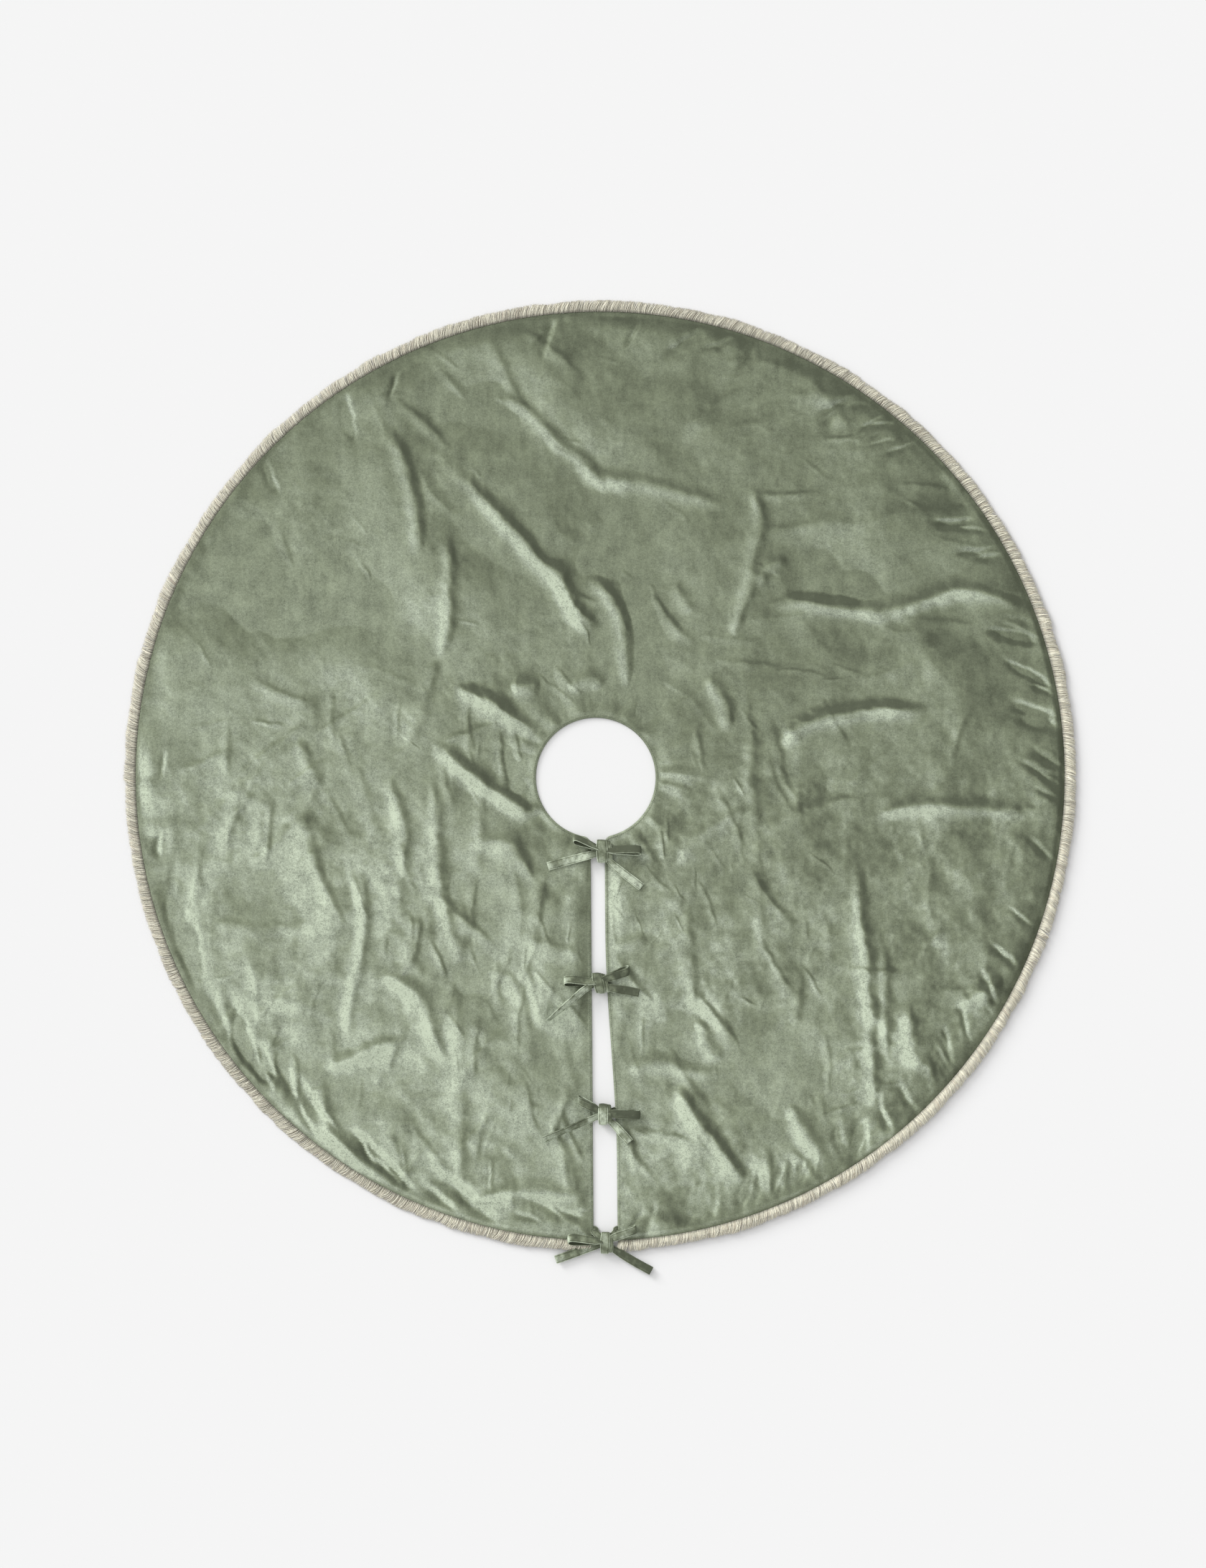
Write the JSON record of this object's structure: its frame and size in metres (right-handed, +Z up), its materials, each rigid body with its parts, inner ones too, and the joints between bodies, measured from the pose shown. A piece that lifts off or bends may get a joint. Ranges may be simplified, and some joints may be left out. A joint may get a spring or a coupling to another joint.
{
  "type": "tree skirt",
  "caption": "Round lined velvet tree skirt with a trunk hole, a fringed hem and a slit to the hem that is tied shut with bows; the skirt beside the slit folds back on both sides.",
  "frame": {"origin": "the middle of the floor that the whole object covers, tails of the hem bow included; the skirt's own centre is at Y 0.0187", "axes": "+Z up from the floor, the slit runs from the trunk hole towards -Y, +X to the right seen from above with -Y nearest"},
  "size_m": [1.524, 1.5613, 0.0189],
  "materials": {
    "velvet": "matte",
    "lining": "matte",
    "heading_tape": "matte",
    "fringe_yarn": "matte",
    "edge_thread": "matte"
  },
  "bodies": {
    "back": {"face_back": "velvet", "lining_back": "lining", "fringe_heading_back": "heading_tape", "fringe_back": "fringe_yarn", "edge_stitching_back": "edge_thread"},
    "left_flap": {"face_left_flap": "velvet", "lining_left_flap": "lining", "fringe_heading_left_flap": "heading_tape", "fringe_left_flap": "fringe_yarn", "edge_stitching_left_flap": "edge_thread", "bow_1_left_tie": "velvet", "bow_2_left_tie": "velvet", "bow_3_left_tie": "velvet", "bow_4_left_tie": "velvet"},
    "right_flap": {"face_right_flap": "velvet", "lining_right_flap": "lining", "fringe_heading_right_flap": "heading_tape", "fringe_right_flap": "fringe_yarn", "edge_stitching_right_flap": "edge_thread", "bow_1_right_tie": "velvet", "bow_2_right_tie": "velvet", "bow_3_right_tie": "velvet", "bow_4_right_tie": "velvet"}
  },
  "joints": [
    {"name": "left_flap_fold", "type": "hinge", "parent": "back", "child": "left_flap", "pos_m": [0, 0.01867, 0.015], "axis": [-0.7071, -0.7071, 0], "range_deg": [0, 170]},
    {"name": "right_flap_fold", "type": "hinge", "parent": "back", "child": "right_flap", "pos_m": [0, 0.01867, 0.015], "axis": [-0.7071, 0.7071, 0], "range_deg": [0, 170]}
  ]
}
